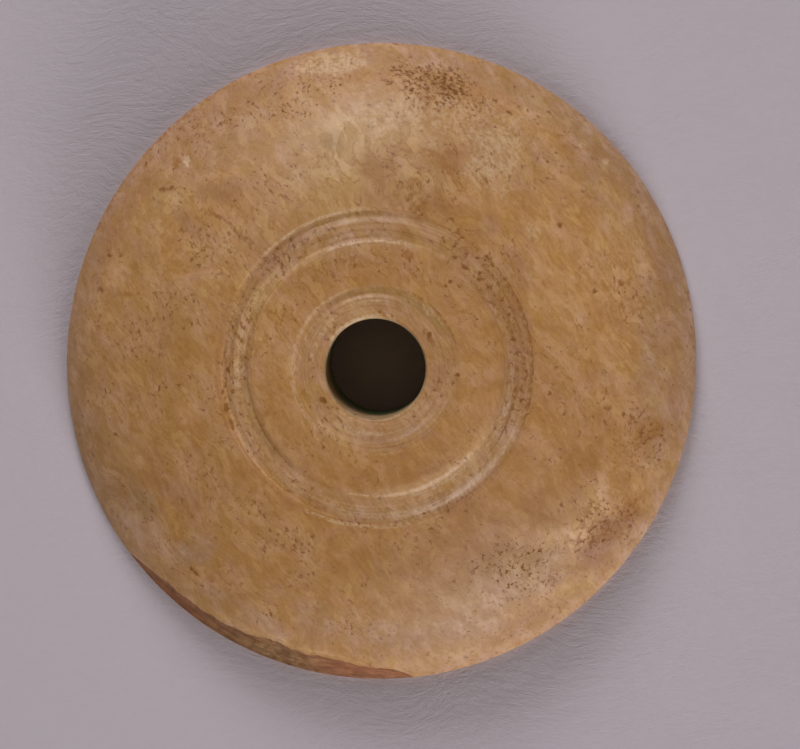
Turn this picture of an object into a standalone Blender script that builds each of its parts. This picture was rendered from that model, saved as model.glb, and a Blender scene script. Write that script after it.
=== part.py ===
"""Bone spindle whorl: a low turned dome with a spindle hole, ring mouldings and a flaked rim.

Metres, +Z up. The flat underside lies on z = 0 and the spindle hole runs along the Z axis.
"""
import bpy
import bmesh
import numpy as np
from math import atan2, cos, degrees, hypot, pi, radians, sin
from mathutils import Matrix, Vector

MM = 0.001

# Driving dimensions
OUTER_DIAMETER = 40.0 * MM       # along the long axis of the slightly oval rim
HOLE_DIAMETER = 6.2 * MM
RIM_HEIGHT = 0.6 * MM            # the widest line, above the underside
DOME_RISE = 7.6 * MM             # from the widest line to the top of the full dome
DOME_FULLNESS = 2.26             # 2 is round on top, more is flatter
DOME_LEANNESS = 0.78             # 0.5 stands upright at the rim, 1 runs out to a sharp rim
RIM_UNDERCUT = 0.5 * MM          # how far the rounded lower edge turns in to the underside
MOUTH_BEVEL = 0.25 * MM          # round the spindle hole, above and below

# The bone has shrunk a little more across this direction than along it
OVAL_DIRECTION = radians(72.0)
OVALITY = 0.014

# Ring mouldings between the collar and the dome: radius and depth under the full dome, in mm
MOULDINGS = (
    (3.55, 0.00),    # crest of the collar
    (3.95, 0.03),
    (4.20, 0.07),    # foot of the collar
    (4.42, 0.10),
    (4.62, 0.20),    # inner groove, floor
    (4.92, 0.20),
    (5.20, 0.08),    # inner edge of the plain band
    (5.90, 0.02),    # plain band, gently convex
    (6.70, 0.02),
    (7.35, 0.05),
    (7.74, 0.08),    # outer edge of the plain band
    (8.08, 0.22),    # wide groove, floor
    (8.48, 0.21),
    (8.74, 0.11),    # ridge between the grooves
    (9.08, 0.08),
    (9.40, 0.18),    # outer groove, floor
    (9.58, 0.17),
)
OUTER_LIP_RADIUS = 9.90 * MM     # the dome begins here, at its full height

# The flake lost from the rim, a hollow break from the dome down to the widest line: degrees
# round from +X, and its width in mm as seen from above
FLAKE_EDGE = (
    (216.0, 0.00),
    (218.0, 0.18),
    (221.0, 0.46),
    (225.0, 0.70),
    (230.0, 0.84),
    (236.0, 0.90),
    (240.0, 0.99),
    (244.5, 1.12),
    (248.0, 1.38),
    (250.5, 1.42),
    (253.0, 1.22),
    (258.0, 1.26),
    (262.5, 1.22),
    (266.0, 1.00),
    (269.0, 0.88),
    (272.5, 0.76),
    (275.0, 0.42),
    (276.5, 0.00),
)
FLAKE_TYPICAL_WIDTH = 1.1 * MM
FLAKE_CLEARANCE = 0.05 * MM      # the cutter stands this far off the rim where nothing is lost
FLAKE_HOLLOW = 0.25 * MM         # how far it is hollowed behind a straight break, where typical
FLAKE_FOOT = 0.45 * MM           # height of the foot of the break
FLAKE_OVERSHOOT = 0.4            # how far the cutter's wall runs on above the dome
CUTTER_REACH = 3.0 * MM          # thickness of the cutter outside the rim
CUTTER_START = 213.75            # degrees round from +X, on an edge between two facets
CUTTER_END = 281.25

# Facets
TURN_STEPS = 96
DOME_STEPS = 14
EDGE_STEPS = 4
FLAKE_STEPS = 36                 # two to a facet of the dome, so that they meet its edges

BONE_COLOUR = (0.34, 0.185, 0.082, 1.0)
BONE_ROUGHNESS = 0.5
SMOOTH_ANGLE = radians(20.0)


def clear_scene():
    """Remove every object that the start-up file brings."""
    for thing in list(bpy.data.objects):
        bpy.data.objects.remove(thing, do_unlink=True)


def ease(share):
    """A smooth step from 0 to 1."""
    share = min(max(share, 0.0), 1.0)
    return share * share * (3.0 - 2.0 * share)


def dome_height(radius):
    """Height of the full dome, before any groove is cut, at a distance from the axis."""
    reach = min(radius / (OUTER_DIAMETER / 2.0), 1.0)
    return RIM_HEIGHT + DOME_RISE * (1.0 - reach ** DOME_FULLNESS) ** DOME_LEANNESS


def dome_points():
    """The dome from its outer lip down to the widest line, as (radius, height)."""
    rim_radius = OUTER_DIAMETER / 2.0
    lip_reach = (OUTER_LIP_RADIUS / rim_radius) ** (DOME_FULLNESS / 2.0)
    start = atan2(lip_reach, (1.0 - lip_reach ** 2) ** 0.5)
    points = []
    for step in range(DOME_STEPS + 1):
        turn = start + (pi / 2.0 - start) * step / DOME_STEPS
        radius = rim_radius * sin(turn) ** (2.0 / DOME_FULLNESS)
        points.append((radius, dome_height(radius)))
    return points


def lower_edge_points():
    """The rounded lower edge, from just under the widest line to the flat underside."""
    inner = OUTER_DIAMETER / 2.0 - RIM_UNDERCUT
    points = []
    for step in range(1, EDGE_STEPS + 1):
        turn = (pi / 2.0) * step / EDGE_STEPS
        points.append((inner + RIM_UNDERCUT * cos(turn), RIM_HEIGHT * (1.0 - sin(turn))))
    return points


def turned_profile():
    """The closed half section of the whorl, as (radius, height), starting in the hole."""
    hole = HOLE_DIAMETER / 2.0
    collar_top = dome_height(hole + MOUTH_BEVEL)
    profile = [
        (hole, MOUTH_BEVEL),
        (hole, collar_top - MOUTH_BEVEL),
        (hole + 0.3 * MOUTH_BEVEL, collar_top - 0.3 * MOUTH_BEVEL),
        (hole + MOUTH_BEVEL, collar_top),
    ]
    profile += [(r * MM, dome_height(r * MM) - depth * MM) for r, depth in MOULDINGS]
    profile += dome_points()
    profile += lower_edge_points()
    profile.append((hole + MOUTH_BEVEL, 0.0))
    return profile


def make_oval(build):
    """Draw the rim in a little from both sides, leaving the mouldings round."""
    side = Vector((-sin(OVAL_DIRECTION), cos(OVAL_DIRECTION), 0.0))
    dome_width = OUTER_DIAMETER / 2.0 - OUTER_LIP_RADIUS
    for vert in build.verts:
        radius = hypot(vert.co.x, vert.co.y)
        share = ease((radius - OUTER_LIP_RADIUS) / dome_width)
        vert.co -= side * (side.dot(vert.co) * OVALITY * share)


def mesh_object(name, build):
    """Wrap a bmesh in an object of the scene, with its faces turned outwards."""
    bmesh.ops.recalc_face_normals(build, faces=build.faces)
    mesh = bpy.data.meshes.new(name)
    build.to_mesh(mesh)
    build.free()
    thing = bpy.data.objects.new(name, mesh)
    bpy.context.scene.collection.objects.link(thing)
    return thing


def draw_section(build, profile):
    """Draw a closed section in the XZ plane of a bmesh, and return its corners and edges."""
    verts = [build.verts.new((radius, 0.0, height)) for radius, height in profile]
    edges = [build.edges.new((verts[i - 1], verts[i])) for i in range(len(verts))]
    return verts, edges


def bone_material():
    """Old polished bone: warm tan with a soft sheen."""
    material = bpy.data.materials.new("bone")
    material.use_nodes = True
    shader = material.node_tree.nodes["Principled BSDF"]
    shader.inputs["Base Color"].default_value = BONE_COLOUR
    shader.inputs["Roughness"].default_value = BONE_ROUGHNESS
    shader.inputs["Metallic"].default_value = 0.0
    return material


def make_whorl():
    """Turn the whorl's section once round the axis."""
    build = bmesh.new()
    verts, edges = draw_section(build, turned_profile())
    bmesh.ops.spin(build, geom=verts + edges, cent=(0.0, 0.0, 0.0), axis=(0.0, 0.0, 1.0),
                   angle=2.0 * pi, steps=TURN_STEPS, use_merge=True)
    make_oval(build)
    whorl = mesh_object("whorl", build)
    whorl.data.materials.append(bone_material())
    return whorl


def flake_width(angle):
    """How much of the rim is lost at an angle in degrees, less the cutter's clearance."""
    angles, widths = zip(*FLAKE_EDGE)
    return float(np.interp(angle, angles, widths)) * MM - FLAKE_CLEARANCE


def flake_wall(angle):
    """The cutter's inner wall at an angle: foot, hollow and top, as (radius, height)."""
    rim_radius = OUTER_DIAMETER / 2.0
    width = flake_width(angle)
    edge = Vector((rim_radius - width, dome_height(rim_radius - width)))
    foot = Vector((rim_radius + FLAKE_CLEARANCE, FLAKE_FOOT))
    inward = Vector((foot.y - edge.y, edge.x - foot.x)).normalized()
    share = max(width, 0.0) / FLAKE_TYPICAL_WIDTH
    hollow = (edge + foot) / 2.0 + inward * FLAKE_HOLLOW * share
    top = edge + (edge - hollow) * FLAKE_OVERSHOOT
    return foot, hollow, top


def make_flake_cutter():
    """A curved wedge outside the rim, whose inner wall is the face of the break."""
    rim_radius = OUTER_DIAMETER / 2.0
    outside = rim_radius + CUTTER_REACH
    build = bmesh.new()
    corners, edges = draw_section(build, (
        (rim_radius, 2.0 * MM), (rim_radius, 1.0 * MM), (rim_radius, 0.0),
        (outside, 0.0), (outside, 2.0 * MM)))
    section = build.faces.new(corners)
    sweep = radians(CUTTER_END - CUTTER_START)
    start = Matrix.Rotation(radians(CUTTER_START), 3, 'Z')
    bmesh.ops.rotate(build, verts=build.verts, cent=(0.0, 0.0, 0.0), matrix=start)
    bmesh.ops.spin(build, geom=[section], cent=(0.0, 0.0, 0.0), axis=(0.0, 0.0, 1.0),
                   angle=sweep, steps=FLAKE_STEPS)
    for vert in build.verts:
        turn = atan2(vert.co.y, vert.co.x)
        row = round(vert.co.z / MM)
        radius, height = flake_wall(degrees(turn) % 360.0)[row]
        if hypot(vert.co.x, vert.co.y) > rim_radius + 0.5 * CUTTER_REACH:
            radius = outside
        vert.co = (radius * cos(turn), radius * sin(turn), height)
    make_oval(build)
    cutter = mesh_object("flake_cutter", build)
    cutter.hide_render = True
    cutter.display_type = 'WIRE'
    return cutter


def cut(body, cutter):
    """Take the cutter's shape out of the body."""
    boolean = body.modifiers.new("cut " + cutter.name, 'BOOLEAN')
    boolean.operation = 'DIFFERENCE'
    boolean.solver = 'EXACT'
    boolean.object = cutter


def main():
    """Make the whorl and break the flake from its rim."""
    clear_scene()
    whorl = make_whorl()
    cut(whorl, make_flake_cutter())
    whorl.data.shade_smooth()
    whorl.data.set_sharp_from_angle(angle=SMOOTH_ANGLE)


main()
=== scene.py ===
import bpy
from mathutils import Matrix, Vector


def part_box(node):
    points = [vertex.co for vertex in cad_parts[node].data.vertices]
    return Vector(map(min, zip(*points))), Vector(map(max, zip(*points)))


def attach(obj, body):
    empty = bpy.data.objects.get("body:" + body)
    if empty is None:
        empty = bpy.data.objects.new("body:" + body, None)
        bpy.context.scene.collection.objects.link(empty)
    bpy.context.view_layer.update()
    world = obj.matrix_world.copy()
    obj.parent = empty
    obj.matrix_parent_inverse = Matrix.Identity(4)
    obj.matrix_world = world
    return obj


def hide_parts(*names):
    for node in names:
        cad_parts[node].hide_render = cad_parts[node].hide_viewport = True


bl_info = {
    "name": "Bone Spindle Whorl",
    "version": (1, 0, 0),
    "blender": (4, 5, 0),
    "location": "View3D > Sidebar > Whorl",
    "description": "Makes an old turned bone spindle whorl with a flaked rim, and its studio",
    "category": "Add Mesh",
}

from math import atan2, cos, degrees, hypot, pi, radians, sin, tan

import bmesh
import bpy
import numpy as np
from bpy.props import FloatProperty, FloatVectorProperty, IntProperty, PointerProperty
from mathutils import Matrix, Vector, noise

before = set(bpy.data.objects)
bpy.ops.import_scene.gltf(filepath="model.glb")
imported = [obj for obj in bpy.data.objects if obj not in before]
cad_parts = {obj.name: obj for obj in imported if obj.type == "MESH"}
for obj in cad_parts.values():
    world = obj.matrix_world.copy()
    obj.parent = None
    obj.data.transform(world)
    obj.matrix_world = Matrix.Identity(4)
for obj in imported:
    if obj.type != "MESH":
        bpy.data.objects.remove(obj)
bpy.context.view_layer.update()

MM = 0.001
WHORL_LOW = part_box("whorl")[0]       # lowest corner of the solid

# Shape of the turned section, as the solid has it
OUTER_RADIUS = 20.0 * MM
OVAL_DIRECTION = radians(72.0)
OVALITY = 0.014
TOP_SMOOTHING = 0.05 * MM        # the tool rounded each corner of the mouldings by about this
CLOSE_ROWS_RADIUS = 10.2 * MM    # the section's points are close together up to here
HOLE_ROWS, MOUTH_ROWS, CLOSE_ROWS, DOME_ROWS = 12, 6, 118, 40
EDGE_ROWS, UNDERSIDE_ROWS, LOWER_MOUTH_ROWS = 8, 10, 3

# Ring mouldings: radius and depth under the full dome, in mm
MOULDINGS = (
    (3.35, 0.02), (3.55, 0.00), (3.95, 0.03), (4.20, 0.07), (4.42, 0.10), (4.62, 0.20),
    (4.92, 0.20), (5.20, 0.08), (5.90, 0.02), (6.70, 0.02), (7.35, 0.05), (7.74, 0.08),
    (8.08, 0.22), (8.48, 0.21), (8.74, 0.11), (9.08, 0.08), (9.40, 0.18), (9.58, 0.17),
    (9.90, 0.00),
)

# Single turned lines: radius, depth (less than 0 stands proud) and half width in mm, and the
# middle and half sweep in degrees of the stretch that is still sharp
TURNED_LINES = (
    (3.43, -0.012, 0.09, 245.0, 60.0),
    (4.02, -0.014, 0.09, 240.0, 60.0),
    (4.20, -0.014, 0.09, 92.0, 24.0),
    (4.42, 0.015, 0.08, 225.0, 70.0),
    (5.20, -0.012, 0.10, 118.0, 36.0),
    (5.18, -0.014, 0.10, 225.0, 60.0),
    (5.05, 0.014, 0.08, 30.0, 40.0),
    (7.84, -0.018, 0.10, 92.0, 24.0),
    (7.86, -0.009, 0.12, 298.0, 30.0),
    (8.08, 0.035, 0.09, 215.0, 22.0),
    (8.32, 0.010, 0.08, 285.0, 40.0),
    (8.66, 0.025, 0.10, 5.0, 50.0),
    (8.95, -0.012, 0.09, 140.0, 36.0),
    (9.14, 0.010, 0.08, 270.0, 60.0),
    (9.66, 0.018, 0.08, 15.0, 55.0),
    (9.86, -0.014, 0.09, 120.0, 36.0),
    (9.86, -0.014, 0.09, 268.0, 34.0),
)

LATHE_FROM, LATHE_TO = 3.3, 10.3     # all turned lines lie between these radii, in mm

# Small chips and dents: X, Y, half length, half width (mm), turn of the length and depth (mm)
DENTS = (
    (-12.0, 12.6, 0.65, 0.35, -70.0, 0.10),
    (12.6, 13.65, 0.45, 0.30, -30.0, 0.07),
    (14.1, 12.6, 0.40, 0.30, -30.0, 0.06),
    (-13.9, 4.9, 0.55, 0.18, -50.0, 0.03),
    (8.0, 11.3, 1.60, 0.50, -80.0, 0.03),
    (-3.25, -1.95, 0.30, 0.22, -40.0, 0.08),
)

# The flake lost from the rim: degrees round from +X and width seen from above, in mm
FLAKE_EDGE = (
    (216.0, 0.00), (218.0, 0.18), (221.0, 0.46), (225.0, 0.70), (230.0, 0.84), (236.0, 0.90),
    (240.0, 0.99), (244.5, 1.12), (248.0, 1.38), (250.5, 1.42), (253.0, 1.22), (258.0, 1.26),
    (262.5, 1.22), (266.0, 1.00), (269.0, 0.88), (272.5, 0.76), (275.0, 0.42), (276.5, 0.00),
)
FLAKE_CLEARANCE = 0.05 * MM      # the cutter stands this far off the rim where nothing is lost
FLAKE_HOLLOW = 0.25 * MM         # how far it is hollowed behind a straight break, where typical
FLAKE_TYPICAL_WIDTH = 1.2 * MM
FLAKE_FOOT = 0.45 * MM           # height of the foot of the break
FLAKE_OVERSHOOT = 0.25           # how far the cutter's wall runs on above the dome
CUTTER_REACH = 3.0 * MM          # thickness of the cutter outside the rim
CUTTER_MARGIN = 2.25             # how far it runs past both ends of the flake, in degrees
FLAKE_STEPS = 250
FLAKE_ROWS = 15

BONE_ROUGHNESS = 0.42
BROKEN_ROUGHNESS = 0.55
DIRT_ROUGHNESS = 0.9
PAPER_ROUGHNESS = 0.9
BONE_SPECULAR = 0.3
BONE_IOR = 1.54
GRAIN_TURN = radians(-35.0)      # the fibres of the bone against +X


# ------------------------------------------------------------------------------------- properties

def distance(name, description, default, least=0.0):
    """A length that a user may change."""
    return FloatProperty(name=name, description=description, default=default, min=least,
                         subtype='DISTANCE', unit='LENGTH')


def paint(name, description, default):
    """A colour that a user may change."""
    return FloatVectorProperty(name=name, description=description, default=default,
                               subtype='COLOR', min=0.0, max=1.0)


class WhorlSizes(bpy.types.PropertyGroup):
    """Sizes of the turned whorl."""
    hole_radius: distance("Hole radius", "Radius of the spindle hole", 3.1 * MM)
    rim_height: distance("Rim height", "Height of the widest line above the underside", 0.6 * MM)
    dome_rise: distance("Dome rise", "Rise of the full dome above the widest line", 7.6 * MM)
    dome_fullness: FloatProperty(
        name="Dome fullness", description="2 is round on top, more is flatter",
        default=2.26, min=1.5, max=4.0)
    dome_leanness: FloatProperty(
        name="Dome leanness", description="0.5 stands upright at the rim, 1 runs out sharp",
        default=0.78, min=0.5, max=1.0)
    rim_undercut: distance("Rim undercut",
                           "How far the lower edge turns in to the underside", 0.5 * MM)
    mouth_bevel: distance("Mouth bevel", "Rounding of the mouth of the spindle hole", 0.25 * MM)
    turn_steps: IntProperty(
        name="Turn steps", description="Facets round the whorl", default=480, min=24, max=720)


class WhorlColours(bpy.types.PropertyGroup):
    """Colours of old bone, its stains and dirt, and of the light and shade painted on it."""
    tan: paint("Tan", "Main colour of the polished bone", (0.650, 0.341, 0.143))
    light: paint("Light", "Paler bone", (0.755, 0.410, 0.181))
    ochre: paint("Ochre", "Darker, yellower bone", (0.510, 0.238, 0.073))
    amber: paint("Amber", "Rusty orange stains", (0.44, 0.17, 0.035))
    butter: paint("Butter", "Pale yellow bone", (0.760, 0.455, 0.185))
    cream: paint("Cream", "Worn and chipped bone", (0.87, 0.59, 0.35))
    peach: paint("Peach", "Pale pinkish patches", (0.805, 0.465, 0.235))
    mauve: paint("Mauve", "Dull pinkish-brown patches", (0.50, 0.252, 0.130))
    # This greyish colour also serves as painted light that lightens the east flank and rim of the
    # dome
    dust: paint("Dust", "Greyish film in the grooves and at the rim", (0.625, 0.370, 0.215))
    olive: paint("Olive", "Greenish-brown smears", (0.43, 0.260, 0.092))
    umber: paint("Umber", "Brown dirt", (0.30, 0.115, 0.022))
    # Painted shade: this dark colour darkens the spindle hole, its deep part most, where the
    # lamps' light does not reach
    soot: paint("Soot", "Old dark grease deep in the hole", (0.21, 0.33, 0.19))
    pore: paint("Pore", "Dirt in the pores", (0.21, 0.072, 0.013))
    speck: paint("Speck", "Small brown specks", (0.28, 0.086, 0.013))
    broken: paint("Broken", "Face of the broken rim", (0.365, 0.142, 0.062))
    scab: paint("Scab", "Browner stretch of the broken face", (0.27, 0.125, 0.050))
    earth: paint("Earth", "Yellow-brown soil on the broken face", (0.35, 0.195, 0.085))


class StageSettings(bpy.types.PropertyGroup):
    """Floor, lamps and camera."""
    floor_colour: paint("Floor", "Pale grey paper", (0.660, 0.580, 0.628))
    camera_distance: distance("Camera distance",
                              "From the whorl's rim to the camera", 0.5, least=0.05)
    view_width: distance("View width",
                         "Width of the view at the height of the rim", 50.16 * MM, least=0.001)
    lamp_distance: distance("Lamp distance", "From the whorl to each soft lamp", 0.6, least=0.05)
    lamp_power: FloatProperty(
        name="Lamp power", description="Power of each soft lamp", default=2.3, min=0.0,
        subtype='POWER', unit='POWER')
    ambient: FloatProperty(
        name="Ambient", description="Strength of the light from all round", default=0.02,
        min=0.0)


# ---------------------------------------------------------------------------------- small helpers

def smooth(share):
    """A share from 0 to 1, or an array of them, eased at both ends."""
    return share * share * (3.0 - 2.0 * share)


def ease(share):
    """A smooth step from 0 to 1."""
    return smooth(min(max(share, 0.0), 1.0))


def dome_height(sizes, radius):
    """Height of the full dome, before any groove is cut, at a distance from the axis."""
    reach = min(radius / OUTER_RADIUS, 1.0)
    share = (1.0 - reach ** sizes.dome_fullness) ** sizes.dome_leanness
    return sizes.rim_height + sizes.dome_rise * share


def moulding_depth(radius):
    """Depth of the ring mouldings under the full dome, straight from one corner to the next."""
    at = radius / MM
    for (r0, d0), (r1, d1) in zip(MOULDINGS, MOULDINGS[1:]):
        if r0 <= at <= r1:
            return (d0 + (d1 - d0) * (at - r0) / (r1 - r0)) * MM
    return MOULDINGS[0][1] * MM if at < MOULDINGS[0][0] else 0.0


def top_height(sizes, radius):
    """Height of the domed face, its corners rounded as a tool leaves them."""
    steps = (-1.0, -0.5, 0.0, 0.5, 1.0)
    depths = [moulding_depth(radius + step * TOP_SMOOTHING) for step in steps]
    return dome_height(sizes, radius) - sum(depths) / len(depths)


def angle_between(first, second):
    """The least angle between two directions, or two arrays of them, in degrees."""
    return abs((first - second + 180.0) % 360.0 - 180.0)


# ----------------------------------------------------------------------------------- turned whorl

def spread(start, end, count):
    """Evenly spaced values from start up to, and without, end."""
    return [start + (end - start) * step / count for step in range(count)]


def whorl_section(sizes):
    """The closed half section as (radius, height), up the hole, over the dome and back below."""
    hole, bevel = sizes.hole_radius, sizes.mouth_bevel
    mouth = top_height(sizes, hole + bevel)
    section = [(hole, height) for height in spread(bevel, mouth - bevel, HOLE_ROWS)]
    for turn in spread(0.0, pi / 2.0, MOUTH_ROWS):
        section.append((hole + bevel * (1.0 - cos(turn)), mouth - bevel * (1.0 - sin(turn))))
    radii = spread(hole + bevel, CLOSE_ROWS_RADIUS, CLOSE_ROWS)
    section += [(radius, top_height(sizes, radius)) for radius in radii]
    power = sizes.dome_fullness / 2.0
    reach = CLOSE_ROWS_RADIUS / OUTER_RADIUS
    start = atan2(reach ** power, (1.0 - reach ** (2.0 * power)) ** 0.5)
    for turn in spread(start, pi / 2.0, DOME_ROWS):
        radius = OUTER_RADIUS * sin(turn) ** (1.0 / power)
        section.append((radius, dome_height(sizes, radius)))
    inner = OUTER_RADIUS - sizes.rim_undercut
    for turn in spread(0.0, pi / 2.0, EDGE_ROWS):
        section.append((inner + sizes.rim_undercut * cos(turn),
                        sizes.rim_height * (1.0 - sin(turn))))
    section += [(radius, 0.0) for radius in spread(inner, hole + bevel, UNDERSIDE_ROWS)]
    for turn in spread(0.0, pi / 2.0, LOWER_MOUTH_ROWS):
        section.append((hole + bevel * (1.0 - sin(turn)), bevel * (1.0 - cos(turn))))
    return section


def draw_section(build, profile):
    """Draw a closed section in the XZ plane of a bmesh, and return its corners and edges."""
    verts = [build.verts.new((radius, 0.0, height)) for radius, height in profile]
    edges = [build.edges.new((verts[i - 1], verts[i])) for i in range(len(verts))]
    return verts, edges


def turned_line_depth(radius, angle):
    """Depth of the single turned lines at a place, radius in mm and angle in degrees."""
    depth = 0.0
    for line_radius, line_depth, half_width, middle, half_sweep in TURNED_LINES:
        off = abs(radius - line_radius) / half_width
        if off < 1.0:
            fade = ease((half_sweep - angle_between(angle, middle)) / 15.0 + 0.5)
            depth += line_depth * (1.0 - off * off) ** 2 * fade
    return depth


def dent_share(x, y, length, width, turn):
    """1 in the middle of a dent and 0 at its edge and beyond."""
    along = (x * cos(radians(turn)) + y * sin(radians(turn))) / length
    across = (y * cos(radians(turn)) - x * sin(radians(turn))) / width
    return max(1.0 - along * along - across * across, 0.0)


def shape_relief(point):
    """How far below the turned face a point of the domed side lies, in mm."""
    place = Vector((point.x, point.y, point.z)) / MM
    radius, angle = hypot(place.x, place.y), degrees(atan2(place.y, place.x)) % 360.0
    depth = 0.035 * noise.noise(place * 0.28) + 0.012 * noise.noise(place * 0.9)
    for x, y, length, width, turn, dent_depth in DENTS:
        if hypot(place.x - x, place.y - y) < length:
            depth += dent_depth * dent_share(place.x - x, place.y - y, length, width, turn)
    if LATHE_FROM < radius < LATHE_TO:
        depth += turned_line_depth(radius, angle)
        fine = noise.noise(Vector((radius * 8.0, place.x * 0.25, place.y * 0.25)))
        ends = ease((radius - LATHE_FROM) / 0.3) * ease((LATHE_TO - radius) / 0.4)
        depth += 0.010 * fine * ends
    return depth


def relieve_top(sizes, build):
    """Sink the turned lines and the soft unevenness of wear into the domed side."""
    for vert in build.verts:
        radius = hypot(vert.co.x, vert.co.y)
        share = ease((vert.co.z - sizes.rim_height) / (1.5 * MM))
        share *= ease((radius - sizes.hole_radius - 0.02 * MM) / (0.2 * MM))
        if share > 0.0:
            vert.co.z -= shape_relief(vert.co) * MM * share


def make_oval(build):
    """Draw the rim in a little from both sides, leaving the mouldings round."""
    side = Vector((-sin(OVAL_DIRECTION), cos(OVAL_DIRECTION), 0.0))
    lip = MOULDINGS[-1][0] * MM
    for vert in build.verts:
        radius = hypot(vert.co.x, vert.co.y)
        share = ease((radius - lip) / (OUTER_RADIUS - lip))
        vert.co -= side * (side.dot(vert.co) * OVALITY * share)


def new_object(name, build):
    """Wrap a bmesh in an object of the scene, with its faces turned outwards."""
    bmesh.ops.remove_doubles(build, verts=build.verts, dist=1e-7)
    bmesh.ops.recalc_face_normals(build, faces=build.faces)
    mesh = bpy.data.meshes.new(name)
    build.to_mesh(mesh)
    build.free()
    thing = bpy.data.objects.new(name, mesh)
    bpy.context.scene.collection.objects.link(thing)
    return thing


def turn_body(sizes):
    """Spin the section once round the axis and wear it."""
    build = bmesh.new()
    verts, edges = draw_section(build, whorl_section(sizes))
    bmesh.ops.spin(build, geom=verts + edges, cent=(0.0, 0.0, 0.0), axis=(0.0, 0.0, 1.0),
                   angle=2.0 * pi, steps=sizes.turn_steps, use_merge=True)
    relieve_top(sizes, build)
    make_oval(build)
    return new_object("turned_whorl", build)


# ------------------------------------------------------------------------------- flake in the rim

def flake_width(angle):
    """How much of the rim is lost at an angle in degrees, less the cutter's clearance."""
    angles, widths = zip(*FLAKE_EDGE)
    return float(np.interp(angle, angles, widths)) * MM - FLAKE_CLEARANCE


def flake_wall(sizes, angle, share):
    """A point of the cutter's inner wall, from its foot at 0 past the edge to its top at 1."""
    width = flake_width(angle)
    ragged = 0.08 * noise.noise(Vector((angle * 0.4, 7.0, 0.0)))
    ragged += 0.05 * noise.noise(Vector((angle * 1.3, 3.0, 0.0)))
    width += ragged * MM * ease(width / (0.4 * MM))
    edge = Vector((OUTER_RADIUS - width, dome_height(sizes, OUTER_RADIUS - width)))
    foot = Vector((OUTER_RADIUS + FLAKE_CLEARANCE, FLAKE_FOOT))
    inward = Vector((foot.y - edge.y, edge.x - foot.x)).normalized()
    along = share * (1.0 + FLAKE_OVERSHOOT)
    fibre = 0.035 * noise.noise(Vector((angle * 0.35, along * 7.0, 2.0)))
    fibre += 0.02 * noise.noise(Vector((angle * 0.9, along * 18.0, 5.0)))
    hollow = FLAKE_HOLLOW * 4.0 * along * (1.0 - along) + fibre * MM
    return foot.lerp(edge, along) + inward * hollow * max(width, 0.0) / FLAKE_TYPICAL_WIDTH


def flake_cutter(sizes):
    """A curved wedge outside the rim, whose fibrous inner wall is the face of the break."""
    outside = OUTER_RADIUS + CUTTER_REACH
    build = bmesh.new()
    corners, edges = draw_section(build, (
        (OUTER_RADIUS, 1.0), (OUTER_RADIUS, 0.0), (outside, 0.0), (outside, 1.0)))
    wall = [edge for edge in edges if all(abs(v.co.x - OUTER_RADIUS) < 1e-6 for v in edge.verts)]
    build.faces.new(corners)
    bmesh.ops.subdivide_edges(build, edges=wall, cuts=FLAKE_ROWS - 1)
    build.faces.ensure_lookup_table()
    start = radians(FLAKE_EDGE[0][0] - CUTTER_MARGIN)
    sweep = radians(FLAKE_EDGE[-1][0] - FLAKE_EDGE[0][0] + 2.0 * CUTTER_MARGIN)
    bmesh.ops.rotate(build, verts=build.verts, cent=(0.0, 0.0, 0.0),
                     matrix=Matrix.Rotation(start, 3, 'Z'))
    bmesh.ops.spin(build, geom=[build.faces[0]], cent=(0.0, 0.0, 0.0), axis=(0.0, 0.0, 1.0),
                   angle=sweep, steps=FLAKE_STEPS)
    for vert in build.verts:
        turn = atan2(vert.co.y, vert.co.x)
        radius, height = flake_wall(sizes, degrees(turn) % 360.0, vert.co.z)
        if hypot(vert.co.x, vert.co.y) > OUTER_RADIUS + 0.5 * CUTTER_REACH:
            radius = outside
        vert.co = (radius * cos(turn), radius * sin(turn), height)
    make_oval(build)
    for face in build.faces:
        face.material_index = 1
    return new_object("flake_cutter", build)


def break_rim(whorl, cutter):
    """Cut the flake out of the rim, and make the edge of the break crisp."""
    boolean = whorl.modifiers.new("break the rim", 'BOOLEAN')
    boolean.operation = 'DIFFERENCE'
    boolean.solver = 'EXACT'
    boolean.object = cutter
    graph = bpy.context.evaluated_depsgraph_get()
    broken = bpy.data.meshes.new_from_object(whorl.evaluated_get(graph))
    whorl.modifiers.remove(boolean)
    turned, whorl.data = whorl.data, broken
    bpy.data.meshes.remove(turned)
    bpy.data.objects.remove(cutter, do_unlink=True)
    build = bmesh.new()
    build.from_mesh(broken)
    for face in build.faces:
        face.smooth = True
    for edge in build.edges:
        kinds = {face.material_index for face in edge.link_faces}
        edge.smooth = len(kinds) == 1
    build.to_mesh(broken)
    build.free()


# ------------------------------------------------------------------------------ painting the bone

# What is laid on the bone. A soft colour tints it, in the order of the table. A crisp one
# (umber for dirt, and along the north-west rim also painted shade; amber for rust; cream for
# wear, and on the lips of the rings and of the hole also painted highlight) becomes a share,
# which the material turns into marks with ragged edges, and so do the zones of dirty pores,
# brown specks and fine brown veins. Some soft colours also paint light or shade, as noted at
# each place in the tables.
CRISP = ("umber", "amber", "cream")
ZONES = ("pores", "specks", "veins")
PLAIN_SHARES = (0.33, 0.54, 0.36)        # of the three zones, everywhere

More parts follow.
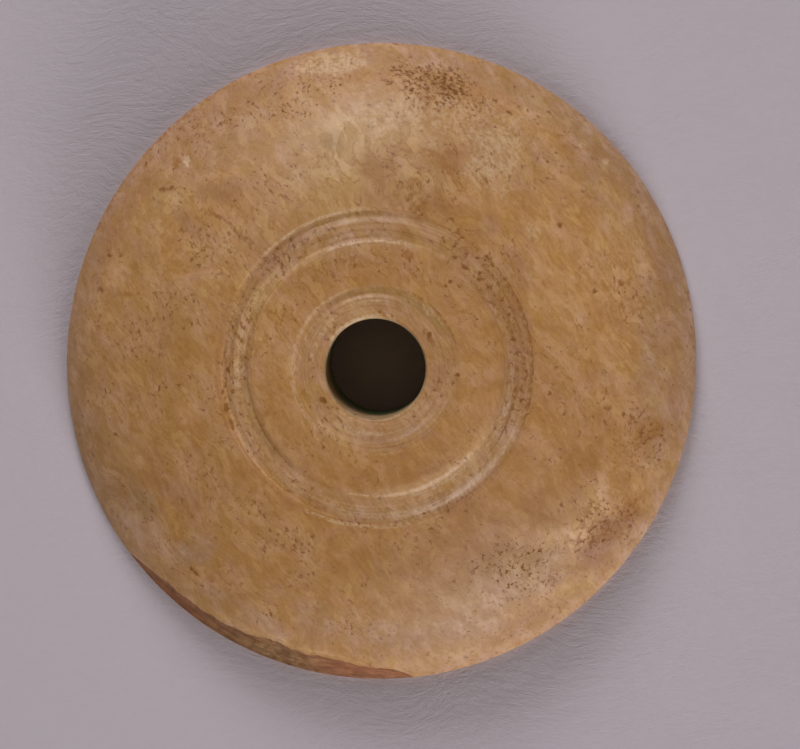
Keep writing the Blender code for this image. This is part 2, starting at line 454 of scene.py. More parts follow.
# Centre X and Y, half length, half width (mm), turn of the length from +X (degrees), strength
STAINS = (
    ("light", (-11.5, 3, 7.5, 7.5, 0, 0.85), (-9, 9.5, 5, 3.5, 40, 0.45),
     (12.5, 7.5, 6.5, 4.5, -60, 0.95), (9.5, 13.5, 4, 2.2, -45, 0.45)),
    ("ochre", (3.5, -9, 8.5, 4.5, 5, 0.5), (9.5, 0.5, 3, 5.5, 20, 0.35),
     (4.2, -12.6, 3.2, 1.6, 15, 0.4), (-0.5, -12.5, 2.2, 1.8, 60, 0.45),
     (9.8, -9.6, 1.6, 1.1, -50, 0.8), (0.2, -7, 3, 0.6, 5, 0.35),
     (-0.5, 12.6, 1.5, 1.2, -40, 0.6)),
    ("butter", (1.8, 11.6, 2.6, 1.3, -20, 0.55)),
    ("ochre", (5.2, 8.9, 1.8, 1.2, -40, 0.55), (12.8, -5, 2.2, 1.4, 60, 0.45),
     (14.4, -9.8, 2.4, 1.2, 60, 0.75)),
    ("butter", (-0.8, 14.2, 5, 2, 0, 0.45), (-2.2, 11.5, 2.2, 3, -20, 0.7)),
    ("peach", (9.6, 15.4, 2.6, 1.3, -40, 0.5)),
    ("butter", (-5, 11.5, 1.6, 0.9, 60, 0.35), (-13.2, 9.8, 2, 2.4, -30, 0.45)),
    ("peach", (13.7, -8.1, 2, 1.2, -30, 0.95), (11.6, -10.5, 2.2, 1.1, 10, 0.95),
     (14.6, 0.8, 1.2, 2.6, 10, 0.45), (-14.5, -11, 2.6, 1.3, -48, 0.6),
     (-9, 8.2, 1.8, 1.4, 20, 0.35)),
    ("mauve", (-11.7, 8.8, 1.5, 0.7, -35, 0.6), (-9.8, 10.9, 1.9, 0.8, 15, 0.5),
     (8.8, 6, 1.6, 1, -60, 0.45), (6.7, 8.9, 0.9, 0.8, -30, 0.75), (14.6, -11, 2.8, 1.2, 50, 0.65),
     (-12, -8.2, 1.9, 1, -30, 0.45), (-17.8, 1.5, 0.9, 5.5, 4, 0.15)),
    ("dust", (-9.8, 14.4, 5, 2, 40, 0.6)),
    ("mauve", (10.3, -12.2, 1.6, 0.9, 20, 0.5)),
    ("ochre", (5, -14.6, 4.5, 1.5, 12, 0.4), (-12.5, 1.2, 3.5, 3, 20, 0.25)),
    ("peach", (11.3, 3.5, 2.2, 5, 10, 0.4)),
    # Of these, the stripe down the east flank at (17.3, 0) is painted light that lightens that
    # side of the dome; the others are dust
    ("dust", (-8.5, -15.8, 4.5, 1.1, -28, 0.6), (-15.6, -8.5, 1.3, 4.8, 28, 0.5),
     (2, -17, 5.5, 1.6, 0, 0.55), (-14.5, 8, 3, 2, 60, 0.35), (17.3, 0, 1.3, 7.5, 0, 0.7),
     (14.8, 9.6, 5, 1.2, -52, 0.55)),
    ("olive", (-2.8, 13.9, 0.9, 0.6, -30, 0.45), (8.2, -12.6, 2.6, 1.4, 25, 0.35)),
    ("dust", (9.2, -13.6, 2.4, 0.8, 30, 0.4)),
    ("butter", (12, -14.4, 3.2, 0.9, 42, 0.6), (4.5, -18.3, 5.5, 0.9, 14, 0.6)),
    ("olive", (-13.9, 10.9, 1.2, 1, 0, 0.3)),
    ("light", (-12.9, 7.8, 1.8, 1.6, 0, 0.55)),
    ("dust", (8, 13.2, 2.8, 2, -40, 0.45)),
    ("light", (7, 11.6, 5, 1.8, 60, 0.55)),
    ("ochre", (0.6, 11.2, 1.6, 1, -30, 0.42), (3.9, -12.4, 2.2, 1.4, 20, 0.42),
     (6.9, -12.4, 2.4, 1.3, 30, 0.6), (9.4, -16.4, 3.8, 1, 30, 0.6)),
    ("peach", (-16.5, -7.2, 1.8, 0.8, -60, 0.36)),
    ("mauve", (6.4, -10.6, 6.5, 1.6, -60, 0.35)),
    ("ochre", (8.6, -14.4, 2.8, 1, 30, 0.35)),
    # Painted light: this pale stripe lightens the west flank of the dome
    ("light", (-16.5, 0, 2.2, 6, 0, 0.5)),
    ("peach", (15.5, 8.5, 2.6, 3.6, 0, 0.6)),
    ("ochre", (5.5, -13.4, 6.5, 2.6, 18, 0.4)),
    ("mauve", (5, -17.2, 6.5, 1.6, 10, 0.35)),
    ("peach", (-16.4, 5.7, 0.9, 1.3, 0, 0.55)),
    ("dust", (-11.4, -11.8, 1.4, 1.1, 0, 0.8)),
    ("peach", (-15.3, -5.8, 1.2, 0.9, -30, 0.7)),
    ("dust", (-4, -16.2, 1.5, 1.8, 10, 0.6)),
    ("peach", (16.6, -7.2, 1.2, 0.8, 40, 0.8)),
    # Painted light: these pale strips lighten the east rim of the dome
    ("dust", (18.3, 4.6, 0.9, 2.2, 12, 0.8), (19.2, 0, 0.7, 4, 0, 0.6)),
    ("ochre", (17, -4.1, 1.1, 0.8, 30, 0.8), (3.4, 10.3, 1.3, 1, -40, 0.7),
     (3.8, -11.3, 1.7, 1.3, 20, 0.45), (0.8, -13.5, 1.9, 0.9, 10, 0.45),
     (10.8, -9.3, 1.4, 1, -50, 0.75), (-16, -7.6, 1.2, 0.9, -60, 0.5)),
    ("olive", (-14.7, -8.7, 1.1, 0.8, -60, 0.45)),
    ("ochre", (0.3, 12.4, 1.6, 1.3, -40, 0.72), (4.5, 12.9, 1.3, 0.8, 0, 0.6),
     (5.8, -9.3, 1.7, 1.2, 20, 0.45), (12.6, -6.2, 1.5, 0.9, 30, 0.5)),
    ("mauve", (13.7, -11.9, 2, 1, 50, 0.6), (11.6, -13, 1.8, 0.7, 25, 0.4)),
    ("ochre", (11.9, -7.7, 2.2, 1.3, 50, 0.55)),
    ("umber", (10.3, -8.9, 0.9, 1.7, -20, 0.28), (12, -7.4, 1.6, 0.8, 50, 0.2),
     (8.3, -11, 1.5, 0.9, 30, 0.24)),
    ("amber", (15.2, 5.2, 0.9, 0.34, 5, 0.5), (15.4, 3.8, 1, 0.34, -10, 0.46)),
    # Partly pale worn bone, partly painted sheen: these cream patches in the north stand where the
    # far lamps' light is reflected off the dome
    ("cream", (5.2, 15.2, 3.4, 1.9, -22, 0.44), (7.4, 13.4, 3.4, 2.1, 60, 0.5),
     (5.4, 14.6, 2.4, 1.6, 0, 0.3), (0.9, 15.5, 4.6, 1.9, 0, 0.42),
     (-2.8, 18.7, 3.8, 0.9, 8, 0.54)),
)

# The same, for small marks whose outline is a plain oval
MARKS = (
    ("umber", (3.9, 17.5, 2.4, 0.9, -24, 0.48), (-1.05, 10.3, 0.3, 0.42, -20, 0.55),
     (-3.25, -1.95, 0.38, 0.26, -40, 0.7), (2.45, 9.75, 0.6, 0.36, -20, 0.5),
     (-9.3, -2.5, 0.28, 0.42, 0, 0.66), (-9, -3.5, 0.2, 0.55, 20, 0.6),
     (6.02, 12.03, 0.26, 0.22, 30, 0.75), (8.12, 15.67, 0.34, 0.24, -20, 0.75),
     (10.53, 15.7, 0.34, 0.2, -30, 0.6), (11.28, 8.73, 0.28, 0.24, 20, 0.8),
     (13.51, 4.69, 0.2, 0.2, 0, 0.8), (4.6, 5.38, 0.24, 0.2, 0, 0.7),
     (12.77, 7.29, 0.28, 0.18, 10, 0.45), (13.7, 13.74, 0.3, 0.22, 0, 0.5),
     (6.02, 16.06, 0.3, 0.24, 0, 0.6), (3.3, 2.1, 0.32, 0.22, 60, 0.7),
     (5.13, -0.36, 0.22, 0.17, 0, 0.75), (-11.55, -13.04, 0.6, 0.15, -48, 0.85),
     (-10.56, -13.91, 0.4, 0.13, -45, 0.65), (-12.6, -12.4, 0.25, 0.45, 10, 0.5),
     (-7.5, 7.4, 2.2, 0.35, -48, 0.4), (-9.8, 9.25, 1.3, 0.2, -30, 0.55),
     (-8.5, 8.2, 1.6, 0.22, -42, 0.48), (-12.1, 8.35, 0.4, 0.34, 0, 0.6),
     (-11.1, 8.6, 0.25, 0.4, -20, 0.5), (-16.9, 6.7, 0.26, 0.22, 0, 0.75),
     (-16.1, 6.75, 0.36, 0.2, 10, 0.6), (-17.4, 4.6, 0.4, 0.3, 0, 0.6),
     (-17.2, 5.6, 0.22, 0.34, 20, 0.55), (-13.5, 10.9, 0.5, 0.24, 0, 0.6),
     (-12.9, 11, 0.28, 0.22, 0, 0.65), (-13.6, 12.1, 0.2, 0.26, 0, 0.6),
     (-10.9, 14.1, 0.24, 0.5, 10, 0.55), (-9.9, 15, 0.4, 0.24, 0, 0.6),
     (14.2, -2.6, 0.36, 0.3, 0, 0.6), (11.6, -2.9, 0.36, 0.24, 0, 0.6),
     (12.6, -4.2, 0.34, 0.2, 30, 0.5), (-2.6, -12.4, 0.5, 0.9, 10, 0.42),
     (-6.8, -10.8, 0.26, 0.4, 20, 0.45), (-5.4, -13, 0.6, 0.26, -20, 0.42)),
    ("amber", (0.6, 12.3, 1.3, 0.8, -50, 0.45), (2, 7.05, 0.5, 0.4, 0, 0.6),
     (15.6, 3.5, 1.1, 0.45, -10, 0.42), (16.5, 6.9, 0.7, 0.8, 0, 0.36),
     (-12.7, 12.5, 0.42, 0.62, -20, 0.58), (13.4, 2.2, 2.4, 0.5, 8, 0.32),
     (-2, 17.2, 2.2, 1, 20, 0.34), (1.6, 18.1, 2, 0.7, -10, 0.46), (8.1, 13.3, 0.5, 0.7, 0, 0.46),
     (10.1, 11.7, 0.8, 1, 20, 0.38), (15.9, -8.9, 1.8, 0.8, 62, 0.46)),
    ("cream", (-12, 12.65, 0.36, 0.62, 20, 0.64), (12.6, 13.65, 0.4, 0.25, -30, 0.7),
     (14.1, 12.6, 0.35, 0.25, -30, 0.65), (-13.9, 4.9, 0.5, 0.14, -50, 0.8),
     (8, 11.3, 0.4, 1.6, -10, 0.46), (9.6, 8.4, 1.1, 0.7, -60, 0.44),
     (-2.6, 18.9, 3, 0.6, 8, 0.36), (-9.2, 7.6, 0.5, 1.4, 30, 0.42),
     (-12.6, 10.4, 0.9, 0.7, 0, 0.42), (-11, 3.3, 0.7, 0.8, 0, 0.36),
     (3.3, 3.55, 0.6, 0.34, -40, 0.45), (-10.6, 6, 1.6, 0.5, -55, 0.36)),
)

# Along the rings: radius and half width (mm), middle and half sweep (degrees; 400 for all round),
# strength
RING_STAINS = (
    ("dust", (4.25, 1, 0, 400, 0.5), (8.85, 1, 0, 400, 0.45), (4.4, 0.9, 170, 60, 0.25)),
    ("light", (4.3, 0.9, 175, 75, 0.5)),
    ("mauve", (8.7, 0.95, 2, 40, 0.34), (9.3, 0.6, 148, 38, 0.42)),
    ("peach", (9.75, 0.25, 145, 36, 0.4)),
    ("ochre", (8.9, 0.9, 45, 34, 0.3)),
    ("peach", (8.4, 0.5, 125, 30, 0.4)),
    ("dust", (19.3, 0.8, 85, 60, 0.5)),
    ("peach", (8.1, 0.7, 302, 34, 0.75)),
    ("dust", (8.9, 0.8, 295, 45, 0.45), (8.4, 0.34, 345, 30, 0.65), (9.35, 0.34, 320, 26, 0.5)),
    ("ochre", (9.78, 0.24, 198, 46, 0.55)),
    # Painted light: these two pale arcs lighten the outer groove in the west, where its wall lies
    # in shade
    ("peach", (9.42, 0.22, 200, 44, 0.45)),
    ("light", (9.38, 0.28, 190, 48, 0.6)),
    ("mauve", (3.9, 0.6, 350, 40, 0.3)),
    ("butter", (8.55, 0.6, 180, 40, 0.15)),
    # Partly pale bone, partly a painted highlight: the light line along the south-east rim
    ("peach", (19.65, 0.42, 315, 34, 0.6)),
    # The arcs at 133° to 140° on the next four lines are partly a reddish-brown stain and partly
    # painted shade that darkens the north-west rim
    ("mauve", (19.6, 0.6, 140, 34, 0.8)),
    ("ochre", (19.8, 0.45, 138, 34, 0.8)),
    ("mauve", (19, 1.1, 133, 32, 0.4), (19, 0.9, 8, 24, 0.45)),
    ("ochre", (19.1, 1, 133, 32, 0.25)),
    ("olive", (4.75, 0.35, 48, 22, 0.5), (4.95, 0.2, 95, 30, 0.35), (8.2, 0.35, 200, 30, 0.25)),
    ("umber", (8.05, 0.15, 214, 24, 0.42), (8.05, 0.17, 168, 28, 0.42), (8.02, 0.14, 92, 26, 0.42),
     (8.78, 0.12, 344, 24, 0.52), (8.7, 0.2, 2, 34, 0.4), (8.6, 0.18, 40, 22, 0.4),
     (9.2, 0.14, 20, 34, 0.42), (8.2, 0.14, 345, 24, 0.4), (9.45, 0.26, 156, 44, 0.34),
     (9.66, 0.18, 12, 44, 0.5), (9.72, 0.1, 75, 32, 0.36), (9.7, 0.09, 285, 42, 0.42),
     (9.2, 0.1, 278, 30, 0.4), (8.75, 0.1, 262, 30, 0.36), (4.85, 0.14, 0, 20, 0.38),
     (5.2, 0.12, 44, 28, 0.5), (4.82, 0.12, 92, 18, 0.34), (3.85, 0.28, 30, 13, 0.5),
     # The arc at 19.75 mm is partly dirt and partly painted shade on the north-west rim
     (19.75, 0.3, 138, 26, 0.44)),
    ("amber", (9.3, 0.32, 246, 6, 0.42)),
    # Partly wear, partly painted highlight: the arcs across the north (about 90° to 120°) and the
    # south (about 260° to 330°) of the rings stand where the lips of the mouldings catch the
    # lamps, and the arc at 3.27 mm is a painted highlight on the mouth of the hole
    ("cream", (7.87, 0.15, 92, 26, 0.48), (7.92, 0.16, 270, 18, 0.45), (8.05, 0.4, 302, 24, 0.45),
     (8.15, 0.22, 328, 18, 0.28), (8.9, 0.6, 290, 34, 0.3), (9.88, 0.14, 114, 29, 0.56),
     (9.88, 0.16, 264, 26, 0.48), (9.6, 0.14, 92, 26, 0.34), (9.38, 0.24, 316, 26, 0.42),
     (8.44, 0.18, 344, 24, 0.38), (4.95, 0.12, 46, 20, 0.42), (4.2, 0.12, 92, 18, 0.46),
     (4.02, 0.2, 250, 30, 0.45), (4.3, 0.18, 302, 16, 0.34), (3.98, 0.24, 150, 30, 0.46),
     (3.27, 0.14, 115, 40, 0.6), (3.4, 0.14, 255, 30, 0.4), (3.65, 0.14, 330, 14, 0.4),
     (5.2, 0.2, 205, 28, 0.45), (5.18, 0.14, 145, 40, 0.46), (5.3, 0.12, 280, 28, 0.36),
     (8.68, 0.24, 168, 32, 0.42), (8.95, 0.22, 240, 24, 0.36), (8.98, 0.14, 120, 16, 0.42),
     (8.55, 0.32, 135, 18, 0.34), (8.4, 0.32, 172, 14, 0.3), (9.25, 0.22, 170, 10, 0.42),
     (4.55, 0.16, 15, 32, 0.3), (5.45, 0.14, 0, 26, 0.28), (8.15, 0.14, 25, 16, 0.36),
     # Partly wear, partly a painted highlight along the south-east rim
     (19.78, 0.34, 313, 36, 0.32)),
)

# The zones, laid out as the stains are, with a share of the surface for the strength
OVAL_ZONES = (
    ("pores", (4.4, 17.4, 1.9, 1, -24, 0.95), (2, 18.2, 2, 0.9, -8, 0.78),
     (3.6, 17.3, 3.6, 1.6, -22, 0.7), (5.6, 16.2, 1.6, 1, -30, 0.6),
     (-5.8, 16.4, 5.2, 1.8, 22, 0.62), (-10.2, 14.4, 3.2, 2, 40, 0.6),
     (14.6, -9.8, 3.2, 2.4, 60, 0.66), (9.2, -12.4, 3.8, 2.8, 20, 0.64),
     (5.6, -11.6, 3, 2.4, 20, 0.54), (16.4, -4.6, 2.4, 3.6, 10, 0.56),
     (8, -15.6, 5, 1.8, 25, 0.52), (-12, 8.5, 3.5, 4.5, -30, 0.47), (-16, 2, 2.2, 7, 0, 0.46),
     (5, 9.5, 2.5, 1.5, -40, 0.46), (10.5, 10, 4, 4, -40, 0.38)),
    ("specks", (3.4, 17.4, 4.4, 1.9, -20, 0.9), (-5.8, 16.6, 5.5, 2.2, 22, 0.7),
     (5.4, 8, 2.6, 1.1, -45, 0.8), (8.8, -1, 0.8, 4.5, 10, 0.66), (16.4, -4.8, 2.6, 4, 10, 0.72),
     (14, -9.8, 3.4, 2.8, 60, 0.8), (8, -13, 5, 3.4, 20, 0.7), (3.5, 11.5, 4.5, 3, -30, 0.61),
     (-9, 8, 5, 4, -30, 0.61), (-12, 0, 6, 9, 0, 0.56), (-5, -10, 6, 6, 0, 0.62),
     (5, -10, 7, 4, 0, 0.64), (13.5, 3, 4, 6, 0, 0.58)),
    ("veins", (1, 12, 7, 3.4, 0, 1), (-9, 8.5, 4.5, 3.5, -30, 0.75),
     (13.8, -9.6, 3, 2.4, 60, 0.85), (6, -11.5, 5, 3, 10, 0.6), (-9, -5, 5, 5, 0, 0.5),
     (15.5, 4.5, 2.5, 3, 0, 0.6)),
)
RING_ZONES = (
    ("pores", (9.2, 0.7, 140, 44, 0.44), (8.6, 0.7, 20, 60, 0.42)),
    ("specks", (8.9, 1.1, 150, 60, 0.76), (6.5, 1.2, 115, 60, 0.7), (8.8, 1, 20, 60, 0.74),
     (9, 0.9, 280, 50, 0.5), (4.2, 1.1, 20, 60, 0.66), (4.2, 1.1, 200, 60, 0.6)),
    ("veins", (6.5, 1.3, 115, 60, 0.9)),
)

# Places of the other colours, in mm and degrees
RIM_DUST_RADIUS = 18.0                   # greyish from here out
LIP_MIDDLE, LIP_SWEEP = 254.0, 22.0      # where the rounded edge above the flake is worn, and painted pale as a highlight
LIP_WIDTH = 0.5
BORE_RADIUS, BORE_MOUTH_RADIUS = 3.2, 3.3
BORE_DARK_HEIGHT = 4.6                   # the hole is darkened with painted shade below this


def oval_mask(x, y, centre_x, centre_y, length, width, turn, ragged):
    """1 inside a soft ragged oval and 0 outside it."""
    along = (x - centre_x) * cos(radians(turn)) + (y - centre_y) * sin(radians(turn))
    across = (y - centre_y) * cos(radians(turn)) - (x - centre_x) * sin(radians(turn))
    reach = np.hypot(along / length, across / width) + 0.35 * ragged
    return smooth(np.clip((1.25 - reach) / 0.8, 0.0, 1.0))


def arc_mask(radius, angle, ring, width, middle, sweep, ragged):
    """1 along a soft broken arc and 0 off it."""
    off = np.abs(radius - ring) / width + 0.25 * ragged
    share = smooth(np.clip((1.2 - off) / 0.7, 0.0, 1.0))
    away = angle_between(angle, middle) / sweep
    return share * np.clip((1.15 - away) / 0.5 - 0.25 * ragged, 0.0, 1.0)


def paint_bone(whorl, colours):
    """Lay the tables on as colour attributes: the tint, and the shares of marks and zones."""
    mesh = whorl.data
    places = np.empty(len(mesh.vertices) * 3)
    mesh.vertices.foreach_get("co", places)
    places = places.reshape(-1, 3) / MM
    x, y, height = places.T
    radius, angle = np.hypot(x, y), np.degrees(np.arctan2(y, x))
    ragged = np.array([noise.noise(Vector(place) * 0.7) + 0.6 * noise.noise(Vector(place) * 1.9)
                       for place in places])
    tint = np.tile(np.array(colours.tan), (len(places), 1))
    marks = np.zeros((len(places), 3))
    zones = np.tile(np.array(PLAIN_SHARES), (len(places), 1))

    def lay(name, mask):
        """Lay a soft colour on by a mask, or note the share of a crisp one or of a zone."""
        for names, shares in ((CRISP, marks), (ZONES, zones)):
            if name in names:
                channel = names.index(name)
                shares[:, channel] = np.maximum(shares[:, channel], mask)
                return
        tint[:] += (np.array(getattr(colours, name)) - tint) * mask[:, None]

    for table, unevenness in ((STAINS, ragged), (MARKS, 0.0), (OVAL_ZONES, ragged)):
        for name, *ovals in table:
            for *oval, strength in ovals:
                lay(name, oval_mask(x, y, *oval, unevenness) * strength)
    for name, *arcs in RING_STAINS + RING_ZONES:
        for *arc, strength in arcs:
            lay(name, arc_mask(radius, angle, *arc, ragged) * strength)
    rim = (radius + 0.5 * ragged - RIM_DUST_RADIUS) / 1.5
    lay("dust", np.clip(rim, 0.0, 1.0) * 0.65)
    # A pale strip along the rounded edge above the flake: partly wear, partly a painted highlight
    # where that edge catches the light
    edge_angles, edge_widths = zip(*FLAKE_EDGE)
    inside = OUTER_RADIUS / MM - np.interp(angle % 360.0, edge_angles, edge_widths) - radius
    lip = np.clip(1.2 - angle_between(angle, LIP_MIDDLE) / LIP_SWEEP, 0.0, 1.0)
    lip *= np.clip(inside / 0.15, 0.0, 1.0)
    lip *= np.clip((LIP_WIDTH + 0.3 * ragged - inside) / 0.3, 0.0, 1.0)
    lay("peach", lip * 0.8)
    lay("cream", lip * 0.42)
    # Painted shade in the spindle hole: its wall is given the greyish colour and darkened a little
    # all the way down, and darkened fully below BORE_DARK_HEIGHT, where no lamp reaches
    wall = (radius < BORE_RADIUS) * 1.0
    lay("dust", wall)
    lay("soot", wall * 0.24)
    deep = np.clip((BORE_DARK_HEIGHT - height) / 1.2, 0.0, 1.0) * (radius < BORE_MOUTH_RADIUS)
    lay("soot", deep)
    zones *= (1.0 - deep)[:, None]
    for name, columns in (("tint", tint), ("marks", marks), ("zones", zones)):
        values = np.ones((len(places), 4))
        values[:, :3] = columns
        layer = mesh.color_attributes.new(name, 'FLOAT_COLOR', 'POINT')
        layer.data.foreach_set("color", values.ravel())


# ------------------------------------------------------------------------------------- node trees

class Bench:
    """Adds and joins the nodes of one material or node group."""

    def __init__(self, tree):
        self.tree = tree

    def add(self, kind, inputs=(), **settings):
        """Add a node, set its options, and fill its inputs by name or number."""
        node = self.tree.nodes.new(kind)
        for name, value in settings.items():
            setattr(node, name, value)
        for name, value in dict(inputs).items():
            self.fill(node.inputs[name], value)
        return node

    def fill(self, socket, value):
        """Join a socket to an output, or give it a value."""
        if isinstance(value, bpy.types.NodeSocket):
            self.tree.links.new(value, socket)
        elif hasattr(value, "__len__") and len(socket.default_value) == len(value) + 1:
            socket.default_value = (*value, 1.0)
        else:
            socket.default_value = value

    def math(self, operation, *values):
        """A Math node's answer."""
        return self.add("ShaderNodeMath", enumerate(values), operation=operation).outputs[0]

    def times(self, first, second):
        """One number times another."""
        return self.math('MULTIPLY', first, second)

    def vector(self, operation, *values, output=0):
        """A Vector Math node's answer."""
        node = self.add("ShaderNodeVectorMath", enumerate(values), operation=operation)
        return node.outputs[output]

    def joined(self, x, y, z=0.0):
        """A vector made of three numbers."""
        return self.add("ShaderNodeCombineXYZ", {"X": x, "Y": y, "Z": z}).outputs[0]

    def scaled(self, vector, scale):
        """A vector times a number."""
        node = self.add("ShaderNodeVectorMath", {0: vector, "Scale": scale}, operation='SCALE')
        return node.outputs[0]

    def span(self, value, low, high, to_low=0.0, to_high=1.0):
        """A value eased from one span to another."""
        node = self.add("ShaderNodeMapRange", {
            "Value": value, "From Min": low, "From Max": high,
            "To Min": to_low, "To Max": to_high}, interpolation_type='SMOOTHSTEP')
        return node.outputs[0]

    def grain(self, vector, detail, roughness, scale=1.0):
        """Noise from 0 to 1."""
        node = self.add("ShaderNodeTexNoise", {
            "Vector": vector, "Scale": scale, "Detail": detail, "Roughness": roughness})
        return node.outputs["Fac"]

    def bent(self, place, scale, amount):
        """A place shifted by a slow noise."""
        slow = self.add("ShaderNodeTexNoise", {"Vector": place, "Scale": scale, "Detail": 1.0})
        shift = self.vector('SUBTRACT', slow.outputs["Color"], (0.5, 0.5, 0.5))
        return self.vector('ADD', place, self.scaled(shift, amount))

    def polar(self, place):
        """The X, Y and Z of a place, and its distance from the axis."""
        x, y, z = self.add("ShaderNodeSeparateXYZ", {"Vector": place}).outputs
        return x, y, z, self.vector('LENGTH', self.joined(x, y), output=1)

    def blend(self, share, under, over, kind='MIX'):
        """One colour laid over another."""
        node = self.add("ShaderNodeMix", {0: share, 6: under, 7: over}, data_type='RGBA',
                        blend_type=kind, clamp_factor=True)
        return node.outputs[2]

    def blend_number(self, share, under, over):
        """One number laid over another."""
        node = self.add("ShaderNodeMix", {0: share, 2: under, 3: over}, data_type='FLOAT')
        return node.outputs[0]

    def shade(self, under, share, dark, light):
        """A colour made darker and lighter by a share from 0 to 1."""
        return self.blend(1.0, under, self.blend(share, dark, light), 'MULTIPLY')

    def painted(self, name):
        """A colour attribute of the mesh."""
        return self.add("ShaderNodeAttribute", attribute_name=name).outputs["Color"]

    def group(self, tree, **inputs):
        """A node group's answers, its inputs filled by name."""
        node = self.add("ShaderNodeGroup", node_tree=tree)
        for name, value in inputs.items():
            self.fill(node.inputs[name], value)
        return node.outputs

    def bump(self, shader, height):
        """Raise a shader's surface by a height in mm."""
        node = self.add("ShaderNodeBump", {"Strength": 1.0, "Distance": MM, "Height": height})
        self.fill(shader.inputs["Normal"], node.outputs[0])


def new_group(name, inputs, outputs):
    """A node group, a bench to fill it, and the sockets that it is given and that it makes.
    An input takes a number, or a vector where its default is None. The outputs are numbers."""
    tree = bpy.data.node_groups.new(name, "ShaderNodeTree")
    for title, default in inputs.items():
        kind = "NodeSocketVector" if default is None else "NodeSocketFloat"
        socket = tree.interface.new_socket(title, in_out='INPUT', socket_type=kind)
        if default is not None:
            socket.default_value = default
    for title in outputs:
        tree.interface.new_socket(title, in_out='OUTPUT', socket_type="NodeSocketFloat")
    bench = Bench(tree)
    entry, ending = bench.add("NodeGroupInput"), bench.add("NodeGroupOutput")
    return tree, bench, entry.outputs, ending.inputs


def grain_group():
    """Bone's grain: streaks along the fibre, mottling, soft blotches, a slow change of hue and
    three kinds of spots."""
    tree, bench, given, made = new_group(
        "Bone grain", {"Vector": None, "Turn": 0.0},
        ("Streaks", "Fine", "Mottle", "Blotches", "Hue", "Spots", "Specks", "Smudges"))
    bent = bench.bent(given["Vector"], 0.22, 1.8)
    along = bench.add("ShaderNodeVectorRotate", {"Vector": bent, "Angle": given["Turn"]},
                      rotation_type='Z_AXIS').outputs[0]
    for name, scale, detail, rough in (
            ("Streaks", (4.2, 1.1, 2.5), 2.0, 0.6), ("Fine", (9.0, 6.0, 8.0), 2.0, 0.7),
            ("Mottle", (1.3, 0.55, 0.8), 3.0, 0.58), ("Blotches", (0.42, 0.34, 0.4), 3.0, 0.6),
            ("Hue", (1.1, 0.6, 0.8), 4.0, 0.65), ("Smudges", (1.6, 1.1, 1.4), 4.0, 0.70),
            ("Spots", (4.1, 3.6, 3.9), 3.0, 0.62), ("Specks", (3.6, 2.5, 3.1), 3.0, 0.62)):
        stretched = bench.vector('MULTIPLY', along, scale)
        bench.fill(made[name], bench.grain(stretched, detail, rough))
    return tree


def mark_group():
    """A mark with ragged edges, from the painted share and a noise. It is thin where the
    share is low."""
    tree, bench, given, made = new_group("Ragged mark", {"Share": 0.0, "Noise": 0.5}, ("Mark",))
    uneven = bench.times(bench.math('SUBTRACT', given["Noise"], 0.5), 1.5)
    inside = bench.span(bench.math('ADD', given["Share"], uneven), 0.26, 0.66)
    thick = bench.span(given["Share"], 0.0, 0.85)
    bench.fill(made["Mark"], bench.times(inside, thick))
    return tree


def spot_group():
    """Spots where a noise stands above a level. They cover more of the surface as the painted
    share grows."""
    tree, bench, given, made = new_group(
        "Spots", {"Share": 0.0, "Noise": 0.5, "Edge": 0.05}, ("Spots",))
    level = bench.span(given["Share"], 0.0, 1.0, 0.74, 0.47)
    above = bench.math('SUBTRACT', given["Noise"], level)
    bench.fill(made["Spots"], bench.span(bench.math('DIVIDE', above, given["Edge"]), 0.0, 1.0))
    return tree


def line_group():
    """Fine lathe lines, from 0 to 1, strongest in the grooves and gone from the dome."""
    tree, bench, given, made = new_group("Lathe lines", {"Vector": None}, ("Lines", "Where"))
    x, y, _, radius = bench.polar(given["Vector"])
    across = bench.joined(bench.times(radius, 7.0), bench.times(x, 0.22), bench.times(y, 0.22))
    bench.fill(made["Lines"], bench.grain(across, 3.0, 0.65))
    outer = bench.times(bench.span(radius, 7.6, 7.9), bench.span(radius, 9.8, 10.1, 1.0, 0.0))
    inner = bench.span(radius, 5.1, 5.5, 1.0, 0.0)
    band = bench.span(radius, 9.9, 10.3, 0.22, 0.0)
    bench.fill(made["Where"], bench.math('MAXIMUM', bench.math('MAXIMUM', outer, inner), band))
    return tree


def material_bench(name):
    """A new material, a bench for its nodes, and its shader."""
    material = bpy.data.materials.new(name)
    material.use_nodes = True
    material.node_tree.nodes.clear()
    bench = Bench(material.node_tree)
    shader = bench.add("ShaderNodeBsdfPrincipled")
    surface = bench.add("ShaderNodeOutputMaterial")
    bench.fill(surface.inputs["Surface"], shader.outputs["BSDF"])
    return material, bench, shader


def place_in_mm(bench):
    """Object coordinates in millimetres."""
    where = bench.add("ShaderNodeTexCoord").outputs["Object"]
    return bench.scaled(where, 1.0 / MM)


def darker(colour, share):
    """A plain colour made darker."""
    return tuple(share * part for part in colour)


